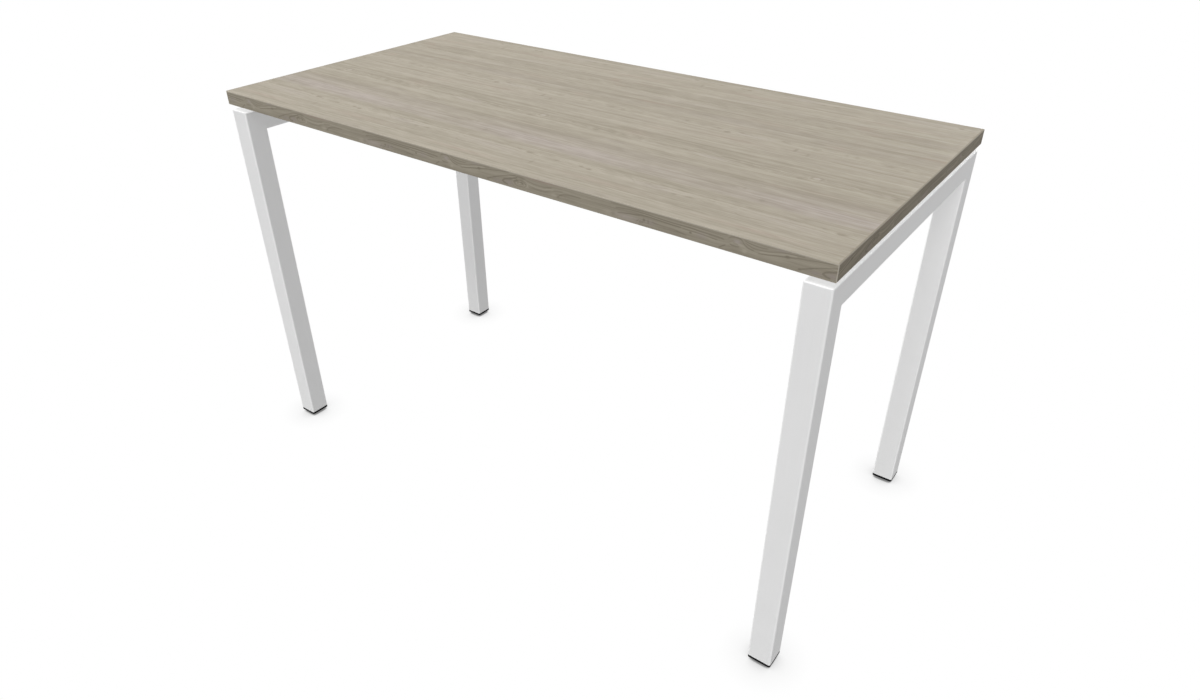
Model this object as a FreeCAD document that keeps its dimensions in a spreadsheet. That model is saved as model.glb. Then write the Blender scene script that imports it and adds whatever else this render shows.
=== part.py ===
import FreeCAD, Part
import math
import os
import re

import Sketcher

# Driving dimensions in millimetres
SIZES = {
    # Whole desk
    "desk_length": 1200,             # along X
    "desk_depth": 600,               # along Y, the sitter's side at -Y
    "desk_height": 740,              # floor to work surface with the feet screwed in
    # Desktop
    "top_thickness": 25,
    "edging_thickness": 2,
    "edging_round": 1,               # rounding of the edging's outer arrises
    # End frames of square tube
    "frame_inset": 2,                # from the edge of the desktop to the tube
    "top_gap": 10,                   # between frame and desktop
    "tube_width": 40,
    "tube_wall": 2,
    "tube_round": 3,                 # outer corners of the section
    "mitre_round": 1.5,              # outer arris of the mitred frame corner
    "tube_inner_round": 1,
    # Lengthwise beams of flat tube
    "beam_spacing": 320,             # between the centre lines of the two beams
    "beam_height": 40,
    "beam_width": 20,
    "beam_wall": 2,
    "beam_round": 2.5,
    "beam_inner_round": 0.8,
    # End plates of the beams and what bolts them to the side rails
    "plate_thickness": 3,
    "plate_width": 80,
    "plate_round": 5,
    "plate_bolt_spacing": 56,
    "bolt_diameter": 8,
    "bolt_length": 20,
    "bolt_head_width": 13,           # across flats
    "bolt_head_height": 5.3,
    "bolt_clearance": 0.5,           # all round, in plate and washer
    "washer_diameter": 16,
    "washer_thickness": 1.6,
    "rivet_nut_diameter": 11,
    "rivet_nut_length": 16,
    "rivet_flange_diameter": 15,
    "rivet_flange_thickness": 1,
    "thread_fit": 0.05,              # all round, between a thread and its nut
    "seat_fit": 0.05,                # all round, between an insert or rivet nut and its hole
    # Screws, spacers and inserts that carry the desktop
    "rail_screw_spacing": 440,       # along Y, in a side rail
    "beam_screw_spacing": 700,       # along X, in a beam
    "screw_diameter": 6,
    "screw_clearance": 0.3,          # all round, in frame and spacer
    "screw_head_diameter": 12,
    "screw_head_height": 4,
    "screw_socket_width": 4,         # across flats
    "screw_socket_depth": 2.5,
    "spacer_diameter": 20,
    "insert_diameter": 10,
    "insert_length": 12,
    "insert_hole_spare": 2,          # hole beyond the insert
    # Tube plugs
    "plug_flange": 5,                # black edge seen under the leg
    "plug_depth": 25,                # inside the tube
    "plug_clearance": 0.2,           # all round, in the tube
    "plug_web": 5,                   # under the nut
    "nut_width": 13,                 # across flats
    "nut_height": 6.5,
    "nut_clearance": 0.1,            # all round, in the plug
    # Levelling feet
    "foot_height": 6,                # floor to plug with the foot screwed in
    "pad_diameter": 26,
    "pad_gap": 0.3,                  # between pad and plug
    "pad_round": 1.2,
    "pad_floor": 1.4,                # pad under the head of the spindle
    "spindle_diameter": 8,
    "spindle_length": 44,
    "spindle_bevel": 1,
    "spindle_clearance": 0.5,        # all round, in the plug
    "spindle_head_diameter": 14,
    "spindle_head_height": 1.8,
    "spindle_head_play": 0.3,        # all round, in the pad
    "neck_fit": 0.1,                 # all round, between spindle and pad
    "collar_width": 13,              # across flats, for a spanner
    "collar_height": 4,
    "collar_gap": 0.5,               # all round, in the plug
}

# Places worked out from the sizes
TOP_UNDERSIDE = "(desk_height - top_thickness)"
FRAME_TOP = f"({TOP_UNDERSIDE} - top_gap)"
FRAME_DEPTH = "(desk_depth - 2 * frame_inset)"
LEG_X = "(desk_length / 2 - frame_inset - tube_width / 2)"
LEG_Y = "(desk_depth / 2 - frame_inset - tube_width / 2)"
RAIL_AXIS_Z = f"({FRAME_TOP} - tube_width / 2)"
RAIL_INNER_X = f"({LEG_X} - tube_width / 2)"
BEAM_AXIS_Z = f"({FRAME_TOP} - beam_height / 2)"
BEAM_END_X = f"({RAIL_INNER_X} - rivet_flange_thickness - plate_thickness)"
PLUG_TOP = "(foot_height + plug_flange + plug_depth)"
TUBE_BOTTOM = "(foot_height + plug_flange)"
NUT_SEAT = f"({TUBE_BOTTOM} + plug_web)"
SPINDLE_BOTTOM = "(pad_floor + spindle_head_play)"
SCREW_HOLE = "(screw_diameter + 2 * screw_clearance)"
BOLT_HOLE = "(bolt_diameter + 2 * bolt_clearance)"

# Names of the four corners, with the signs of X and Y
CORNERS = {
    "front_left": (-1, -1),
    "front_right": (1, -1),
    "back_left": (-1, 1),
    "back_right": (1, 1),
}

# Geometry and point numbers that sketch constraints use
ORIGIN = -1
START, END, CENTRE = 1, 2, 3

# Lengths closer than this, in millimetres, are the same
SAME_LENGTH = 1e-6

document = FreeCAD.newDocument("OfficeDesk")
sheet = document.addObject("Spreadsheet::Sheet", "Sizes")
for row, (name, size) in enumerate(SIZES.items(), 1):
    sheet.set(f"A{row}", name)
    sheet.set(f"B{row}", str(size))
    sheet.setAlias(f"B{row}", name)
document.recompute()

subparts = []


def cells(expression):
    """The expression with the sheet's name before each of its sizes."""
    def cell(word):
        return f"Sizes.{word[0]}" if word[0] in SIZES else word[0]

    return re.sub(r"[a-z]\w+", cell, str(expression))


def measure(expression):
    """The expression's value in millimetres."""
    return float(sheet.evalExpression(str(expression)))


def vector(place):
    """A point of a sketch from a pair of expressions."""
    return FreeCAD.Vector(measure(place[0]), measure(place[1]), 0)


def bind(thing, **expressions):
    """Tie properties of a feature to expressions."""
    for name, expression in expressions.items():
        thing.setExpression(name, cells(expression))


def put(thing, x=0, y=0, z=0, turn=None):
    """Stand a piece at a place given by expressions, turned first by an axis and an angle."""
    if turn:
        axis, angle = turn
        thing.Placement = FreeCAD.Placement(FreeCAD.Vector(), FreeCAD.Rotation(FreeCAD.Vector(*axis), angle))
    for name, expression in (("x", x), ("y", y), ("z", z)):
        thing.setExpression(f"Placement.Base.{name}", cells(expression))


def half_turn(sign):
    """A half turn about Z for the piece on the far side, none for the near one."""
    return ((0, 0, 1), 0 if sign > 0 else 180)


def keep(piece, label):
    """Name a finished piece and count it among the sub-parts."""
    piece.Label = label
    subparts.append(piece)
    return piece


def new_body(label):
    """An empty body for one sub-part."""
    return keep(document.addObject("PartDesign::Body", label), label)


def new_sketch(body, plane, height="0"):
    """A sketch on one of the body's own planes, raised along the plane's normal."""
    sketch = body.newObject("Sketcher::SketchObject", f"{body.Label}_sketch")
    support = next(feature for feature in body.Origin.OriginFeatures if feature.Role == plane)
    sketch.AttachmentSupport = [(support, "")]
    sketch.MapMode = "FlatFace"
    sketch.setExpression("AttachmentOffset.Base.z", cells(height))
    return sketch


def hold(sketch, kind, geometry, point, expression):
    """A distance from the sketch's origin to a point, tied to an expression."""
    constraint = Sketcher.Constraint(kind, ORIGIN, START, geometry, point, measure(expression))
    number = sketch.addConstraint(constraint)
    sketch.setExpression(f"Constraints[{number}]", cells(expression))


def add_line(sketch, start, end):
    """A straight side, with the numbers of its start and end points."""
    return sketch.addGeometry(Part.LineSegment(start, end)), START, END


def add_arc(sketch, centre, start, end):
    """The shorter arc from start to end, with the numbers of its start and end points."""
    circle = Part.Circle(centre, FreeCAD.Vector(0, 0, 1), (start - centre).Length)
    first, last = (math.atan2(point.y - centre.y, point.x - centre.x) for point in (start, end))
    if (last - first) % (2 * math.pi) < math.pi:
        return sketch.addGeometry(Part.ArcOfCircle(circle, first, last)), START, END
    return sketch.addGeometry(Part.ArcOfCircle(circle, last, first)), END, START


def outline(sketch, corners, arc_centres=None):
    """A closed outline through corners, which are pairs of expressions from the sketch's origin.

    arc_centres gives, for the number of a corner, the centre of an arc from it to the next corner.
    """
    arc_centres = arc_centres or {}
    points = [vector(corner) for corner in corners]
    sides = []
    for number, start in enumerate(points):
        end = points[(number + 1) % len(points)]
        if number in arc_centres:
            sides.append(add_arc(sketch, vector(arc_centres[number]), start, end))
        else:
            sides.append(add_line(sketch, start, end))
    for number, corner in enumerate(corners):
        side, start, _ = sides[number]
        last_side, _, last_end = sides[number - 1]
        sketch.addConstraint(Sketcher.Constraint("Coincident", last_side, last_end, side, start))
        hold(sketch, "DistanceX", side, start, corner[0])
        hold(sketch, "DistanceY", side, start, corner[1])
    for number, centre in arc_centres.items():
        hold(sketch, "DistanceY", sides[number][0], CENTRE, centre[1])


def rectangle(sketch, width, height):
    """A rectangle about the sketch's origin."""
    signs = ((1, 1), (-1, 1), (-1, -1), (1, -1))
    outline(sketch, [(f"{sx} * {width} / 2", f"{sy} * {height} / 2") for sx, sy in signs])


def rounded_rectangle(sketch, width, height, radius):
    """A rectangle about the sketch's origin with an arc at each corner."""
    corners = []
    centres = {}
    for sx, sy in ((1, 1), (-1, 1), (-1, -1), (1, -1)):
        side_x, arc_x = f"{sx} * {width} / 2", f"{sx} * ({width} / 2 - {radius})"
        side_y, arc_y = f"{sy} * {height} / 2", f"{sy} * ({height} / 2 - {radius})"
        pair = [(side_x, arc_y), (arc_x, side_y)]
        centres[len(corners)] = (arc_x, arc_y)
        corners += pair if sx == sy else pair[::-1]
    outline(sketch, corners, centres)


def hexagon(sketch, width):
    """A regular hexagon about the sketch's origin, given by its width across flats."""
    tip, shoulder, flat = f"{width} / sqrt(3)", f"{width} / sqrt(3) / 2", f"{width} / 2"
    outline(sketch, [
        (tip, "0"), (shoulder, flat), (f"-{shoulder}", flat),
        (f"-{tip}", "0"), (f"-{shoulder}", f"-{flat}"), (shoulder, f"-{flat}"),
    ])


def circle(sketch, diameter, x="0", y="0"):
    """A circle at a place of the sketch."""
    shape = Part.Circle(vector((x, y)), FreeCAD.Vector(0, 0, 1), measure(diameter) / 2)
    number = sketch.addGeometry(shape)
    size = sketch.addConstraint(Sketcher.Constraint("Diameter", number, measure(diameter)))
    sketch.setExpression(f"Constraints[{size}]", cells(diameter))
    hold(sketch, "DistanceX", number, CENTRE, x)
    hold(sketch, "DistanceY", number, CENTRE, y)


def pad(body, sketch, length, both_ways=False):
    """Material raised from a sketch, to one side or half to each side."""
    feature = body.newObject("PartDesign::Pad", f"{body.Label}_pad")
    feature.Profile = sketch
    feature.SideType = "Symmetric" if both_ways else "One side"
    bind(feature, Length=length)
    return feature


def pocket(body, sketch, depth, both_ways=False):
    """Material cut away below a sketch, to one side or half to each side."""
    feature = body.newObject("PartDesign::Pocket", f"{body.Label}_pocket")
    feature.Profile = sketch
    feature.SideType = "Symmetric" if both_ways else "One side"
    bind(feature, Length=depth)
    return feature


def revolve(body, sketch, kind="PartDesign::Revolution"):
    """A full turn of a sketch about its upright axis, added or, as a groove, cut away."""
    feature = body.newObject(kind, f"{body.Label}_turned")
    feature.Profile = sketch
    feature.ReferenceAxis = (sketch, ["V_Axis"])
    feature.Angle = 360
    return feature


def round_edges(body, chosen, radius):
    """Fillet the edges of the body so far whose middle passes the test."""
    document.recompute()
    base = body.Tip
    names = []
    for number, edge in enumerate(base.Shape.Edges, 1):
        middle = edge.valueAt((edge.FirstParameter + edge.LastParameter) / 2)
        if chosen(middle):
            names.append(f"Edge{number}")
    feature = body.newObject("PartDesign::Fillet", f"{body.Label}_rounding")
    feature.Base = (base, names)
    bind(feature, Radius=radius)


def near(first, second):
    """Two lengths that are the same but for rounding."""
    return abs(first - second) < SAME_LENGTH


# Desktop

def fixing_places():
    """X and Y of the desktop's fixings: two in each side rail and two in each beam."""
    for sx, sy in CORNERS.values():
        yield f"{sx} * {LEG_X}", f"{sy} * rail_screw_spacing / 2"
        yield f"{sx} * beam_screw_spacing / 2", f"{sy} * beam_spacing / 2"


def make_desktop_board():
    """Board between the edge bands, with blind holes for the threaded inserts underneath."""
    body = new_body("desktop_board")
    sketch = new_sketch(body, "XY_Plane")
    rectangle(sketch, "(desk_length - 2 * edging_thickness)", "(desk_depth - 2 * edging_thickness)")
    pad(body, sketch, "top_thickness")
    hole_depth = "(insert_length + insert_hole_spare)"
    holes = new_sketch(body, "XY_Plane", hole_depth)
    for x, y in fixing_places():
        circle(holes, "(insert_diameter + 2 * seat_fit)", x, y)
    pocket(body, holes, hole_depth)
    put(body, z=TOP_UNDERSIDE)


def make_long_band(label, side):
    """Edge band along X, as long as the desk; every outer arris is rounded, its ends included."""
    body = new_body(label)
    sketch = new_sketch(body, "XY_Plane")
    rectangle(sketch, "desk_length", "edging_thickness")
    pad(body, sketch, "top_thickness")
    end_x = measure("desk_length / 2")
    outer_y = measure("edging_thickness / 2")
    round_edges(body, lambda middle: near(middle.y, outer_y) or (
        near(abs(middle.x), end_x) and not near(middle.y, -outer_y)), "edging_round")
    put(body, y=f"{side} * (desk_depth - edging_thickness) / 2", z=TOP_UNDERSIDE, turn=half_turn(side))


def make_short_band(label, side):
    """Edge band along Y between the long bands, with its two long outer arrises rounded."""
    body = new_body(label)
    sketch = new_sketch(body, "XY_Plane")
    rectangle(sketch, "edging_thickness", "(desk_depth - 2 * edging_thickness)")
    pad(body, sketch, "top_thickness")
    outer_x = measure("edging_thickness / 2")
    round_edges(body, lambda middle: near(middle.x, outer_x) and near(middle.y, 0), "edging_round")
    put(body, x=f"{side} * (desk_length - edging_thickness) / 2", z=TOP_UNDERSIDE, turn=half_turn(side))


# End frames

# Distance from a rounded square corner to the middle of its arc, along either side
ARC_CUT = "(mitre_round * (1 - sqrt(0.5)))"
# Room by which a mitre cut runs past the tube
CUT_ROOM = "(tube_width / 4)"


def tube_profile(sketch):
    """Section of the square tube."""
    rounded_rectangle(sketch, "tube_width", "tube_width", "tube_round")
    bore = "(tube_width - 2 * tube_wall)"
    rounded_rectangle(sketch, bore, bore, "tube_inner_round")


def make_leg(name, sx, sy):
    """Upright tube, mitred at 45 degrees against the side rail, its outer top arris rounded."""
    body = new_body(f"leg_{name}")
    sketch = new_sketch(body, "XY_Plane", TUBE_BOTTOM)
    tube_profile(sketch)
    pad(body, sketch, f"{FRAME_TOP} - {TUBE_BOTTOM}")
    mitre = new_sketch(body, "YZ_Plane")
    outer, inner = "tube_width / 2", f"-(tube_width / 2 + {CUT_ROOM})"
    outside, above = f"tube_width / 2 + {CUT_ROOM}", f"{FRAME_TOP} + {CUT_ROOM}"
    arc_foot = f"{FRAME_TOP} - mitre_round"
    outline(mitre, [
        (f"{outer} - {ARC_CUT}", f"{FRAME_TOP} - {ARC_CUT}"),
        (outer, arc_foot),
        (outside, arc_foot),
        (outside, above),
        (inner, above),
        (inner, f"{FRAME_TOP} - tube_width - {CUT_ROOM}"),
    ], {0: (f"{outer} - mitre_round", arc_foot)})
    pocket(body, mitre, "2 * tube_width", both_ways=True)
    put(body, f"{sx} * {LEG_X}", f"{sy} * {LEG_Y}", turn=half_turn(sy))


def rail_mitre(sketch, side):
    """Outline of what a mitre takes off one end of a side rail."""
    half, top = f"{FRAME_DEPTH} / 2", "tube_width / 2"
    outside, below = f"{side} * ({half} + {CUT_ROOM})", f"-(tube_width / 2 + {CUT_ROOM})"
    arc_x = f"{side} * ({half} - mitre_round)"
    outline(sketch, [
        (f"{side} * ({half} - {ARC_CUT})", f"{top} - {ARC_CUT}"),
        (arc_x, top),
        (arc_x, f"{top} + {CUT_ROOM}"),
        (outside, f"{top} + {CUT_ROOM}"),
        (outside, below),
        (f"{side} * ({half} - tube_width - {CUT_ROOM})", below),
    ], {0: (arc_x, f"{top} - mitre_round")})


def make_side_rail(name, side):
    """Tube along Y with mitred ends, screw holes through it and rivet nut holes in its inner wall."""
    body = new_body(f"side_rail_{name}")
    sketch = new_sketch(body, "XZ_Plane")
    tube_profile(sketch)
    pad(body, sketch, FRAME_DEPTH, both_ways=True)
    mitres = new_sketch(body, "YZ_Plane")
    rail_mitre(mitres, 1)
    rail_mitre(mitres, -1)
    pocket(body, mitres, "2 * tube_width", both_ways=True)
    screw_holes = new_sketch(body, "XY_Plane")
    for sy in (1, -1):
        circle(screw_holes, SCREW_HOLE, "0", f"{sy} * rail_screw_spacing / 2")
    pocket(body, screw_holes, "2 * tube_width", both_ways=True)
    nut_holes = new_sketch(body, "YZ_Plane")
    for sy in (1, -1):
        for bolt_side in (1, -1):
            y = f"{sy} * beam_spacing / 2 + {bolt_side} * plate_bolt_spacing / 2"
            circle(nut_holes, "(rivet_nut_diameter + 2 * seat_fit)", y, f"{BEAM_AXIS_Z} - {RAIL_AXIS_Z}")
    pocket(body, nut_holes, "tube_width")
    put(body, x=f"{side} * {LEG_X}", z=RAIL_AXIS_Z, turn=half_turn(side))


# Lengthwise beams

def make_beam(name, side):
    """Flat tube along X between the end plates, with screw holes through it."""
    body = new_body(f"beam_{name}")
    sketch = new_sketch(body, "YZ_Plane")
    rounded_rectangle(sketch, "beam_width", "beam_height", "beam_round")
    bore_width, bore_height = "(beam_width - 2 * beam_wall)", "(beam_height - 2 * beam_wall)"
    rounded_rectangle(sketch, bore_width, bore_height, "beam_inner_round")
    pad(body, sketch, f"2 * {BEAM_END_X}", both_ways=True)
    screw_holes = new_sketch(body, "XY_Plane")
    for sx in (1, -1):
        circle(screw_holes, SCREW_HOLE, f"{sx} * beam_screw_spacing / 2")
    pocket(body, screw_holes, "2 * beam_height", both_ways=True)
    put(body, y=f"{side} * beam_spacing / 2", z=BEAM_AXIS_Z)


def make_end_plate(name, sx, sy):
    """Plate across the end of a beam, with a bolt hole on either side of it."""
    body = new_body(f"end_plate_{name}")
    sketch = new_sketch(body, "YZ_Plane")
    rounded_rectangle(sketch, "plate_width", "beam_height", "plate_round")
    for bolt_side in (1, -1):
        circle(sketch, BOLT_HOLE, f"{bolt_side} * plate_bolt_spacing / 2")
    pad(body, sketch, "plate_thickness")
    put(body, f"{sx} * {BEAM_END_X}", f"{sy} * beam_spacing / 2", BEAM_AXIS_Z, turn=half_turn(sx))


# Fasteners, each made once at the origin along Z and then copied to its places

def cylinder(diameter, height, z="0"):
    """An upright cylinder on the Z axis."""
    piece = document.addObject("Part::Cylinder", "cylinder")
    bind(piece, Radius=f"{diameter} / 2", Height=height)
    put(piece, z=z)
    return piece


def hexagonal_prism(width, height, z="0"):
    """An upright hexagonal prism on the Z axis, given by its width across flats."""
    piece = document.addObject("Part::Prism", "prism")
    piece.Polygon = 6
    bind(piece, Circumradius=f"{width} / sqrt(3)", Height=height)
    put(piece, z=z)
    return piece


def cut(base, tool):
    """The base without the tool."""
    piece = document.addObject("Part::Cut", "cut")
    piece.Base = base
    piece.Tool = tool
    return piece


def fuse(first, second):
    """Two touching solids as one."""
    piece = document.addObject("Part::Fuse", "fuse")
    piece.Base = first
    piece.Tool = second
    return piece


def group(label, piece, places):
    """Equal pieces as one sub-part; a place is x, y and z, and a turn where there is one."""
    copies = []
    for number, place in enumerate(places, 1):
        copy = document.addObject("App::Link", f"{label}_{number}")
        copy.LinkedObject = piece
        put(copy, *place)
        copies.append(copy)
    compound = document.addObject("Part::Compound", label)
    compound.Links = copies
    keep(compound, label)


def ring(outer, inner, height):
    """A flat ring or sleeve standing on the origin."""
    return cut(cylinder(outer, height), cylinder(inner, height))


def socket_screw(length):
    """Machine screw with a round socket head below the origin and its shank above."""
    head = cylinder("screw_head_diameter", "screw_head_height", "-screw_head_height")
    shank = cylinder("screw_diameter", length)
    socket = hexagonal_prism("screw_socket_width", "screw_socket_depth", "-screw_head_height")
    return cut(fuse(head, shank), socket)


def hexagon_bolt():
    """Bolt with a hexagon head below the origin and its shank above."""
    head = hexagonal_prism("bolt_head_width", "bolt_head_height", "-bolt_head_height")
    return fuse(head, cylinder("bolt_diameter", "bolt_length"))


def rivet_nut():
    """Threaded sleeve above the origin with a thin flange below it."""
    sleeve = cylinder("rivet_nut_diameter", "rivet_nut_length")
    flange = cylinder("rivet_flange_diameter", "rivet_flange_thickness", "-rivet_flange_thickness")
    bore = cylinder("(bolt_diameter + 2 * thread_fit)", "rivet_flange_thickness + rivet_nut_length",
                    "-rivet_flange_thickness")
    return cut(fuse(sleeve, flange), bore)


def hexagon_nut():
    """Hexagon nut on the spindle of a foot."""
    bore = cylinder("(spindle_diameter + 2 * thread_fit)", "nut_height")
    return cut(hexagonal_prism("nut_width", "nut_height"), bore)


def plate_places(distance):
    """Places of the end plates' bolts at a distance from the middle, pointing outwards along X."""
    for sx, sy in CORNERS.values():
        for bolt_side in (1, -1):
            y = f"{sy} * beam_spacing / 2 + {bolt_side} * plate_bolt_spacing / 2"
            yield f"{sx} * ({distance})", y, BEAM_AXIS_Z, ((0, 1, 0), 90 * sx)


def make_fasteners():
    """What holds the beams to the side rails, the desktop to the frame and the feet to the plugs."""
    washer_x = f"{BEAM_END_X} - washer_thickness"
    group("end_plate_bolts", hexagon_bolt(), plate_places(washer_x))
    group("end_plate_washers", ring("washer_diameter", BOLT_HOLE, "washer_thickness"), plate_places(washer_x))
    group("rivet_nuts", rivet_nut(), plate_places(RAIL_INNER_X))
    rail_screw = socket_screw("tube_width + top_gap + insert_length")
    group("rail_screws", rail_screw, [
        (f"{sx} * {LEG_X}", f"{sy} * rail_screw_spacing / 2", f"{FRAME_TOP} - tube_width")
        for sx, sy in CORNERS.values()])
    beam_screw = socket_screw("beam_height + top_gap + insert_length")
    group("beam_screws", beam_screw, [
        (f"{sx} * beam_screw_spacing / 2", f"{sy} * beam_spacing / 2", f"{FRAME_TOP} - beam_height")
        for sx, sy in CORNERS.values()])
    spacer = ring("spacer_diameter", SCREW_HOLE, "top_gap")
    group("top_spacers", spacer, [(x, y, FRAME_TOP) for x, y in fixing_places()])
    insert = ring("insert_diameter", "(screw_diameter + 2 * thread_fit)", "insert_length")
    group("top_inserts", insert, [(x, y, TOP_UNDERSIDE) for x, y in fixing_places()])
    group("foot_nuts", hexagon_nut(), [
        (f"{sx} * {LEG_X}", f"{sy} * {LEG_Y}", NUT_SEAT) for sx, sy in CORNERS.values()])


# Feet

def make_leg_plug(name, sx, sy):
    """Plug in the foot of a leg: a flange as wide as the tube, a recess for the collar and a nut seat."""
    body = new_body(f"leg_plug_{name}")
    flange = new_sketch(body, "XY_Plane", "foot_height")
    rounded_rectangle(flange, "tube_width", "tube_width", "tube_round")
    pad(body, flange, "plug_flange")
    block = new_sketch(body, "XY_Plane", TUBE_BOTTOM)
    block_width = "(tube_width - 2 * tube_wall - 2 * plug_clearance)"
    rounded_rectangle(block, block_width, block_width, "tube_inner_round")
    pad(body, block, "plug_depth")
    bore = new_sketch(body, "XZ_Plane")
    recess = "(collar_width / sqrt(3) + collar_gap)"
    recess_top = "(foot_height + collar_height + 2 * collar_gap)"
    bore_radius = "(spindle_diameter / 2 + spindle_clearance)"
    outline(bore, [
        ("0", "foot_height"), (recess, "foot_height"), (recess, recess_top),
        (bore_radius, recess_top), (bore_radius, PLUG_TOP), ("0", PLUG_TOP),
    ])
    revolve(body, bore, "PartDesign::Groove")
    nut_seat = new_sketch(body, "XY_Plane", PLUG_TOP)
    hexagon(nut_seat, "(nut_width + 2 * nut_clearance)")
    pocket(body, nut_seat, f"{PLUG_TOP} - {NUT_SEAT}")
    put(body, f"{sx} * {LEG_X}", f"{sy} * {LEG_Y}")


def make_foot_pad(name, sx, sy):
    """Round glide with a rounded sole; the head of the spindle turns in the hollow inside it."""
    body = new_body(f"foot_pad_{name}")
    sketch = new_sketch(body, "XZ_Plane")
    outer, pad_top = "pad_diameter / 2", "foot_height - pad_gap"
    neck = "spindle_diameter / 2 + neck_fit"
    hollow = "spindle_head_diameter / 2 + spindle_head_play"
    hollow_top = f"{SPINDLE_BOTTOM} + spindle_head_height + spindle_head_play"
    outline(sketch, [
        ("0", "0"), (outer, "0"), (outer, pad_top), (neck, pad_top),
        (neck, hollow_top), (hollow, hollow_top), (hollow, "pad_floor"), ("0", "pad_floor"),
    ])
    revolve(body, sketch)
    radius = measure(outer)
    heights = (0, measure(pad_top))
    round_edges(body, lambda middle: near(math.hypot(middle.x, middle.y), radius) and any(
        near(middle.z, height) for height in heights), "pad_round")
    put(body, f"{sx} * {LEG_X}", f"{sy} * {LEG_Y}")


def make_foot_spindle(name, sx, sy):
    """Threaded spindle of a foot, with a flat head inside the pad and a hexagon collar for a spanner."""
    body = new_body(f"foot_spindle_{name}")
    sketch = new_sketch(body, "XZ_Plane")
    rod, head = "spindle_diameter / 2", "spindle_head_diameter / 2"
    head_top, tip = f"{SPINDLE_BOTTOM} + spindle_head_height", f"{SPINDLE_BOTTOM} + spindle_length"
    outline(sketch, [
        ("0", SPINDLE_BOTTOM), (head, SPINDLE_BOTTOM), (head, head_top), (rod, head_top),
        (rod, f"{tip} - spindle_bevel"), (f"{rod} - spindle_bevel", tip), ("0", tip),
    ])
    revolve(body, sketch)
    collar = new_sketch(body, "XY_Plane", "foot_height + collar_gap")
    hexagon(collar, "collar_width")
    pad(body, collar, "collar_height")
    put(body, f"{sx} * {LEG_X}", f"{sy} * {LEG_Y}")


def write_parts():
    """Stop at anything that failed, then write one file for each sub-part."""
    document.recompute()
    for thing in document.Objects:
        if {"Invalid", "Error"} & set(thing.State):
            raise RuntimeError(f"{thing.Label} did not compute: {thing.State}")
    for piece in subparts:
        if piece.Shape.isNull() or not piece.Shape.isValid() or not piece.Shape.Solids:
            raise RuntimeError(f"{piece.Label} has no sound solid")
    os.makedirs("parts", exist_ok=True)
    for piece in subparts:
        piece.Shape.exportStep(f"parts/{piece.Label}.step")
        print(f"{piece.Label}: {len(piece.Shape.Solids)} solid(s), {piece.Shape.Volume:.1f} mm3")


make_desktop_board()
make_long_band("edge_band_front", -1)
make_long_band("edge_band_back", 1)
make_short_band("edge_band_left", -1)
make_short_band("edge_band_right", 1)
for side_name, side_sign in (("left", -1), ("right", 1)):
    make_side_rail(side_name, side_sign)
for side_name, side_sign in (("front", -1), ("back", 1)):
    make_beam(side_name, side_sign)
for corner_name, (corner_x, corner_y) in CORNERS.items():
    make_leg(corner_name, corner_x, corner_y)
    make_end_plate(corner_name, corner_x, corner_y)
    make_leg_plug(corner_name, corner_x, corner_y)
    make_foot_pad(corner_name, corner_x, corner_y)
    make_foot_spindle(corner_name, corner_x, corner_y)
make_fasteners()
write_parts()
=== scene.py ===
import math

import bpy
import numpy as np
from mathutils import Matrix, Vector


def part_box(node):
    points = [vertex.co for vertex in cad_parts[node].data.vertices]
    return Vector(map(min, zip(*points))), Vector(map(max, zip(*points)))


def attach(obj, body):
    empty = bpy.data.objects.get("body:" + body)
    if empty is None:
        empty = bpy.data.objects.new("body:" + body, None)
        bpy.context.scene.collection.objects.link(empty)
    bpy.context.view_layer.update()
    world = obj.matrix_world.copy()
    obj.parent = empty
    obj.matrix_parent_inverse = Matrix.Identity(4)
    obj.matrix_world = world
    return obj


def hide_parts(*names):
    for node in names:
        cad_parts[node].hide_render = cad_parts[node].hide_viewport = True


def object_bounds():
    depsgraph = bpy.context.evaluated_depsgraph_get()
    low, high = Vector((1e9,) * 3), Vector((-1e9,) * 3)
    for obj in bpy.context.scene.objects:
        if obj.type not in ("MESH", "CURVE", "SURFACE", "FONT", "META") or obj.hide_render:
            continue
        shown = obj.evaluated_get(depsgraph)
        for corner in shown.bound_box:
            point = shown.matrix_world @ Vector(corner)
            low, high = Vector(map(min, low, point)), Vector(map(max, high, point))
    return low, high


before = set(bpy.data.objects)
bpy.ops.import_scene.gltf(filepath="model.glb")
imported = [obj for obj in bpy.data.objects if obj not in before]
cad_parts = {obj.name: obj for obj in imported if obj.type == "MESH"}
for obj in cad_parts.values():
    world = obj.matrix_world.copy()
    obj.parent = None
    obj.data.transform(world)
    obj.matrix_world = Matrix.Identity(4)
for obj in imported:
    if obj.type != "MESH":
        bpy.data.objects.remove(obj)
cad_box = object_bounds()
scene = bpy.context.scene

CORNERS = ("front_left", "front_right", "back_left", "back_right")
FULL_TURN = 2 * math.pi
QUARTER_TURN = FULL_TURN / 4
MILLIMETRES = 1000
# Middle of Blender's noise, and of tones and heights that run from 0 to 1
MIDDLE = 0.5


# Shader expressions

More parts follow.
